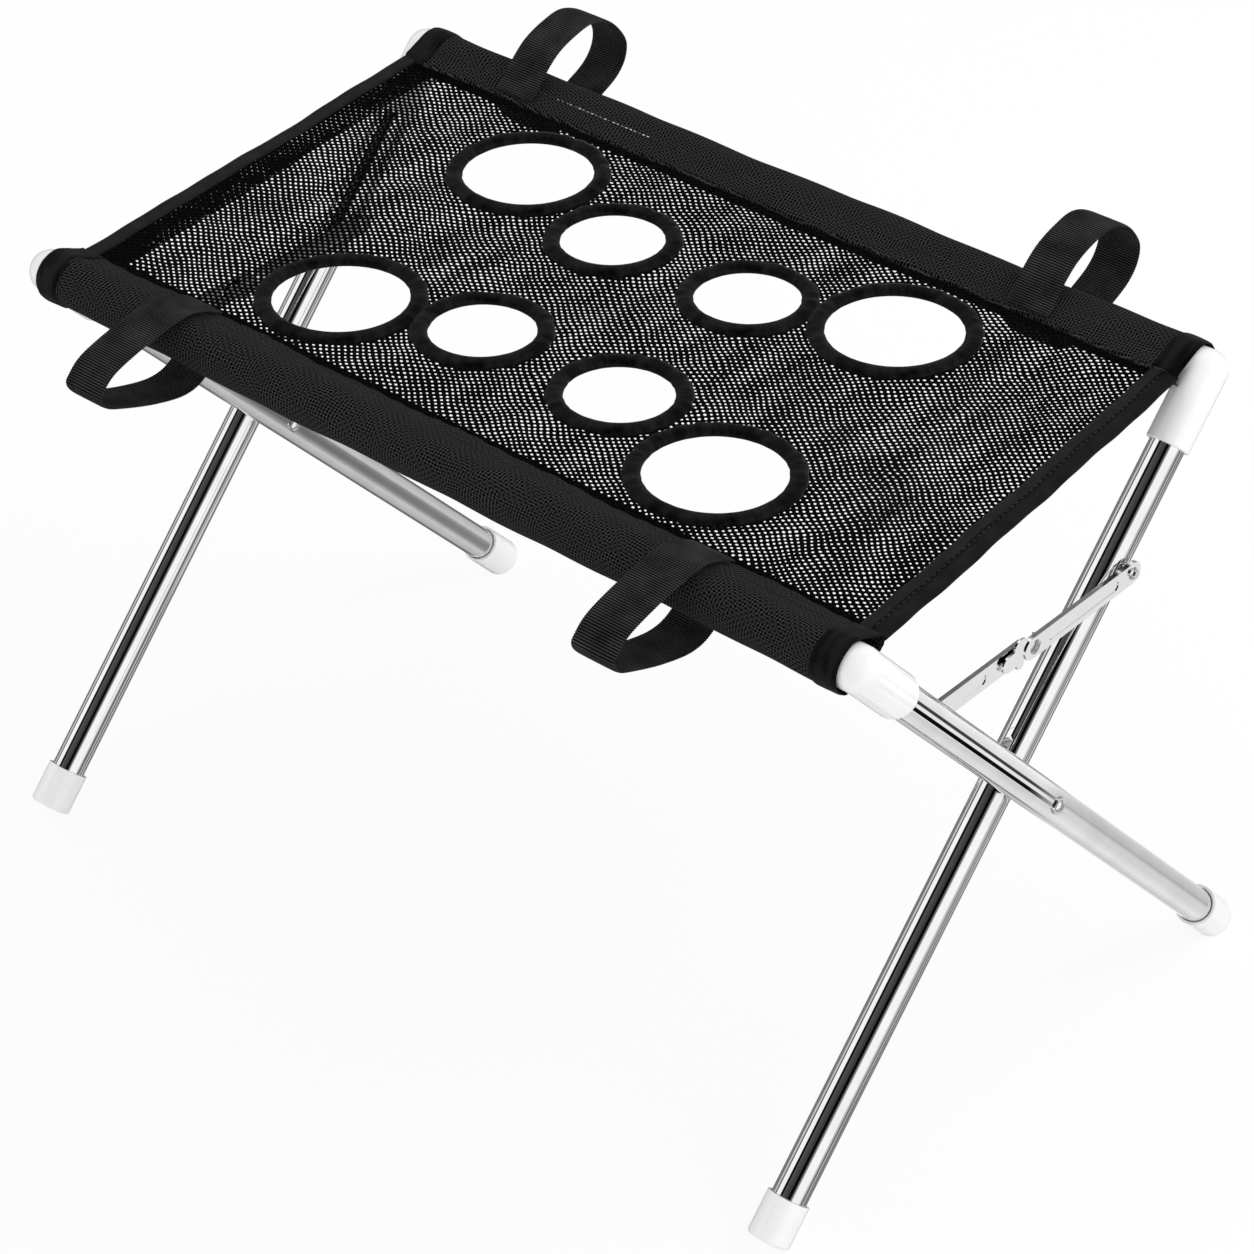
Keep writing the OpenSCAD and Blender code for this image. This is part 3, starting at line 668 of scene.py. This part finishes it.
# ---------------------------------------------------------------- cuffs
# The short edge tape runs on round each end of the sleeve and closes it. Its own two
# edges curl in a little.
CUFF_RADIUS, CUFF_TIP = 0.0166, 0.0024
CUFF_FLAT, CUFF_CURL = 0.72, 0.0011
CUFF_AROUND, CUFF_ALONG = 72, 12
for body, node in (
    ("back_frame", "back_cuff_right"),
    ("back_frame", "back_cuff_left"),
    ("front_frame", "front_cuff_right"),
    ("front_frame", "front_cuff_left"),
):
    side = 1 if body == "back_frame" else -1
    low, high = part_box(node)
    cuff = grid_piece(node + "_tape", CUFF_ALONG, CUFF_AROUND)
    where = []
    for vertex in cuff.data.vertices:
        i = round((vertex.co.y + 1) / 2 * CUFF_AROUND)
        t = vertex.co.x
        edge = max(0.0, abs(t) - CUFF_FLAT) / (1 - CUFF_FLAT)
        radius = CUFF_RADIUS - CUFF_CURL * edge * edge
        points, length = drop_path(radius, CUFF_TIP, CUFF_AROUND)
        out, rise = points[i]
        bite = max(0.0, socket_bite(out, rise) - SLEEVE_END)
        if "right" in node:
            x = low.x + (t + 1) / 2 * (high.x - bite - low.x)
        else:
            x = high.x + (t - 1) / 2 * (high.x - bite - low.x)
        crease = 0.00012 * math.sin(i * 0.35 + 3 * t) + 0.00006 * math.sin(i * 1.3 + x * 300)
        grow = 1 + crease / radius
        vertex.co = (x, side * (RAIL_Y + out * grow), RAIL_Z + rise * grow)
        where.append((x, i / CUFF_AROUND * length))
    lay_uv(cuff, where)
    if side > 0:
        cuff.data.flip_normals()
    dress(cuff, tape, "tape", node)
    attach(cuff, body)

# ---------------------------------------------------------------- webbing loops
# Four lengths of ribbed webbing, 30 mm wide, both ends sewn into the sleeve seams.
# The routes run over the rail, out, and back under it: outboard of it and up, in mm.
WEB_WIDTH, WEB_THICK, RIB_PITCH, WARP_PITCH = 0.030, 0.0017, 0.0016, 0.0012
WEB_ROUND, STEPS_PER_RIB, ROUTE_SPANS = 20, 6, 24
RIB_SWELL, RIB_SPREAD = 0.16, 0.00015
webbing, wire = new_material("black_webbing", Roughness=0.6, Specular_IOR_Level=0.04)
spot = wire.add("ShaderNodeTexCoord", out="UV")
u, v, _ = spot.parts()
rib_height_and_shade = ((v * (2 * math.pi / RIB_PITCH)).cos() * 0.5 + 0.5).step(0.15, 0.75)
warp_height_and_highlight = (u * (2 * math.pi / WARP_PITCH)).cos() * 0.5 + 0.5
wear = spot.noise(60.0, 3.0)
# Painted light and shade: lighter on the rib tops and warp threads, darker in the grooves between ribs.
shade = rib_height_and_shade * (0.6 + warp_height_and_highlight * 0.2 + (wear - 0.5) * 1.4)
feed(
    webbing,
    Base_Color=shade.tint((0.0003, 0.0003, 0.0003), (0.058, 0.058, 0.062)),
    Normal=(warp_height_and_highlight * 0.4 + rib_height_and_shade * 0.8).bump(0.5, 0.0004),
)

BACK_ROUTE = (
    (-22.5, 9.3), (-16, 14.5), (-8, 24), (5, 34), (22, 40), (38, 42), (54, 36), (65, 25), (70, 15),
    (68, 4), (60, -5), (46, -12), (30, -18), (11, -22), (-5, -21), (-18, -11), (-25.5, 0.3),
)
FRONT_ROUTE = (
    (-22.5, 9.3), (-15, 13.8), (-5, 17.8), (5, 19.3), (30, 16), (60, 8), (72, -1), (74, -6),
    (70, -12), (60, -17), (35, -26), (11, -31), (-5, -27), (-18, -13), (-25.5, 0.3),
)


def smooth_route(points, spans):
    """A smooth line through the points, in metres."""
    line = []
    for i in range(len(points) - 1):
        a, b, c, d = (Vector(points[max(0, min(len(points) - 1, i + k))]) for k in (-1, 0, 1, 2))
        bend, twist = 2 * a - 5 * b + 4 * c - d, 3 * b - a - 3 * c + d
        for k in range(spans):
            t = k / spans
            line.append(0.5 * (2 * b + (c - a) * t + bend * t**2 + twist * t**3))
    line.append(Vector(points[-1]))
    return [p / 1000 for p in line]


for body, route, node in (
    ("back_frame", BACK_ROUTE, "back_loop_right"),
    ("back_frame", BACK_ROUTE, "back_loop_left"),
    ("front_frame", FRONT_ROUTE, "front_loop_right"),
    ("front_frame", FRONT_ROUTE, "front_loop_left"),
):
    side = 1 if body == "back_frame" else -1
    low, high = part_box(node)
    middle = (low.x + high.x) / 2
    line = smooth_route(route, ROUTE_SPANS)
    lengths = [0.0]
    for a, b in zip(line, line[1:]):
        lengths.append(lengths[-1] + (b - a).length)
    steps = round(lengths[-1] / RIB_PITCH) * STEPS_PER_RIB
    strap = grid_piece(node + "_webbing", WEB_ROUND, steps)
    where = []
    at = 0
    frames = []
    for i in range(steps + 1):
        s = lengths[-1] * i / steps
        while at < len(lengths) - 2 and lengths[at + 1] < s:
            at += 1
        k = (s - lengths[at]) / (lengths[at + 1] - lengths[at])
        point = line[at].lerp(line[at + 1], k)
        ahead = (line[min(at + 2, len(line) - 1)] - line[max(at - 1, 0)]).normalized()
        frames.append((point, Vector((-ahead.y, ahead.x)), s))
    for vertex in strap.data.vertices:
        i = round((vertex.co.y + 1) / 2 * steps)
        point, normal, s = frames[i]
        roll = math.pi * vertex.co.x
        wide = squared(math.cos(roll), 0.35)
        thick = squared(math.sin(roll), 0.9)
        swell = math.cos(2 * math.pi * s / RIB_PITCH)
        place = point + normal * (WEB_THICK / 2 * thick * (1 + RIB_SWELL * swell))
        x = middle + wide * (WEB_WIDTH / 2 + RIB_SPREAD * swell)
        vertex.co = (x, side * (RAIL_Y + place.x), RAIL_Z + place.y)
        where.append((x, s))
    lay_uv(strap, where)
    close_roll()
    dress(strap, webbing, "webbing", node)
    strap.visible_glossy = False
    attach(strap, body)

# ---------------------------------------------------------------- floor and light
# A plain white floor that only shows soft contact shadows, under an even white sky.
FLOOR_SIZE, FLOOR_GLOW = 24, 0.85
bpy.ops.object.select_all(action="DESELECT")
bpy.ops.mesh.primitive_plane_add(size=FLOOR_SIZE)
floor = bpy.context.object
floor.name = "floor"
floor.visible_glossy = False
paper, wire = new_material(
    "white_paper", Base_Color=(0.99, 0.99, 0.99, 1), Roughness=0.9, Specular_IOR_Level=0.0
)
shader = paper.node_tree.nodes["Principled BSDF"]
lit = Wire(paper.node_tree, shader.outputs[0])
glow = wire.add("ShaderNodeEmission", {"Color": (1, 1, 1, 1), "Strength": 1.0})
seen = wire.add("ShaderNodeLightPath", out="Is Camera Ray")
mixed = wire.add("ShaderNodeMixShader", {0: seen * FLOOR_GLOW, 1: lit, 2: glow})
paper.node_tree.links.new(mixed.socket, paper.node_tree.nodes["Material Output"].inputs[0])
floor.data.materials.append(paper)

# Polished metal sees a studio of white walls and black cards instead of the plain
# sky. WALLS goes round a back-frame leg: degrees from the side that faces the viewer,
# and how bright the studio is there. NEAR_CARDS and FAR_CARDS go round a front-frame
# leg in the same way, and the cards stop part-way down.
WALLS = (
    (-180, 0.40), (-134, 0.20), (-127, 0.10), (-120, 0.60), (-108, 0.60), (-104, 0.08),
    (-97, 0.08), (-93, 1.0), (-65, 1.0), (-63, 0.002), (-51, 0.002), (-48, 0.09),
    (-28, 0.06), (-13, 0.04), (-10, 0.002), (4, 0.002), (7, 0.10), (15, 0.25),
    (20, 1.0), (66, 1.0), (74, 0.50), (80, 0.45), (84, 0.10), (92, 0.10),
    (96, 0.50), (104, 0.45), (108, 0.14), (116, 0.30), (124, 0.60), (180, 0.40),
)
NEAR_CARDS = (
    (-180, 0.30), (-132, 0.40), (-124, 1.0), (-96, 0.90), (-50, 0.80), (-46, 0.06),
    (-30, 0.04), (-27, 0.88), (-9, 0.88), (-7, 0.004), (14, 0.004), (17, 1.0),
    (26, 0.66), (60, 0.78), (93, 0.80), (98, 0.25), (108, 0.25), (113, 0.62),
    (140, 0.50), (180, 0.30),
)
FAR_CARDS = (
    (-180, 0.90), (-120, 0.66), (-60, 0.55), (-44, 0.45), (-24, 0.66), (-10, 0.70),
    (15, 0.70), (60, 0.85), (100, 0.66), (125, 0.60), (150, 0.95), (180, 0.90),
)
# Directions square to a back-frame leg, then those along and square to a front-frame one.
LEAN_FACE = (0.534, -0.608, 0.588)
LEAN_SIDE = (0.846, 0.389, -0.366)
FRONT_ALONG = (0.0, -0.6845, 0.7290)
FRONT_FACE = (0.991, -0.0966, -0.0910)
FRONT_SIDE = (-0.1327, -0.7224, -0.6783)
# Cosines from straight down a front-frame leg between which the cards begin, change
# from near to far and end, and from straight behind a back-frame leg for the back wall.
CARDS_BEGIN, CARDS_CHANGE, CARDS_END = (0.855, 0.865), (0.897, 0.903), (0.935, 0.95)
BACK_WALL = (0.80, 0.88)
LOW_SHADE, BACK_SHADE = (0.22, 0.22, 0.22, 1), (0.16, 0.16, 0.16, 1)
SKY_LEVEL, SKY_FALL = 1.15, 0.4

world = bpy.data.worlds.new("studio")
scene.world = world
world.use_nodes = True
sky = Wire(world.node_tree)
x, y, z = sky.add("ShaderNodeTexCoord", out="Generated").parts()


def toward(direction):
    """Cosine between where the sky is looked up and this direction."""
    return x * direction[0] + y * direction[1] + z * direction[2]


def panorama(stops, face, aside):
    """Brightness round an upright, from its degrees and levels."""
    turn = sky.maths("ARCTAN2", toward(aside), toward(face)) * (0.5 / math.pi) + 0.5
    return sky.add(
        "ShaderNodeValToRGB",
        {"Fac": turn},
        stops=[((degrees + 180) / 360, (level,) * 3) for degrees, level in stops],
    )


def blend(share, first, second):
    """The first colour, or the second where share is 1."""
    return sky.add("ShaderNodeMix", {0: share, 6: first, 7: second}, out=2, data_type="RGBA")


down = toward(FRONT_ALONG) * -1
cards = blend(
    down.step(*CARDS_CHANGE),
    panorama(NEAR_CARDS, FRONT_FACE, FRONT_SIDE),
    panorama(FAR_CARDS, FRONT_FACE, FRONT_SIDE),
)
cards = blend(down.step(*CARDS_END), cards, LOW_SHADE)
behind = (toward(LEAN_FACE) * -1).step(*BACK_WALL)
walls = blend(behind, panorama(WALLS, LEAN_FACE, LEAN_SIDE), BACK_SHADE)
studio = blend(down.step(*CARDS_BEGIN), walls, cards)
day = SKY_LEVEL - z * SKY_FALL
camera_sky = sky.add("ShaderNodeBackground", {"Color": (1, 1, 1, 1), "Strength": 1.0})
metal_sky = sky.add("ShaderNodeBackground", {"Color": studio, "Strength": 1.0})
soft_sky = sky.add("ShaderNodeBackground", {"Color": (1, 1, 1, 1), "Strength": day})
shiny = sky.add("ShaderNodeLightPath", out="Is Glossy Ray")
seen = sky.add("ShaderNodeLightPath", out="Is Camera Ray")
unseen = sky.add("ShaderNodeMixShader", {0: shiny, 1: soft_sky, 2: metal_sky})
chosen = sky.add("ShaderNodeMixShader", {0: seen, 1: unseen, 2: camera_sky})
world.node_tree.links.new(chosen.socket, world.node_tree.nodes["World Output"].inputs[0])

LAMP_SIZE, LAMP_POWER = (1.2, 0.9), 12
LAMP_PLACE, LAMP_AIM = Vector((1.3, 0.9, 1.9)), Vector((0, 0, 0.2))
lamp = bpy.data.objects.new("softbox", bpy.data.lights.new("softbox", "AREA"))
lamp.data.shape = "RECTANGLE"
lamp.data.size, lamp.data.size_y = LAMP_SIZE
lamp.data.energy = LAMP_POWER
lamp.location = LAMP_PLACE
lamp.rotation_mode = "QUATERNION"
lamp.rotation_quaternion = (LAMP_PLACE - LAMP_AIM).to_track_quat("Z", "Y")
lamp.visible_glossy = False
scene.collection.objects.link(lamp)
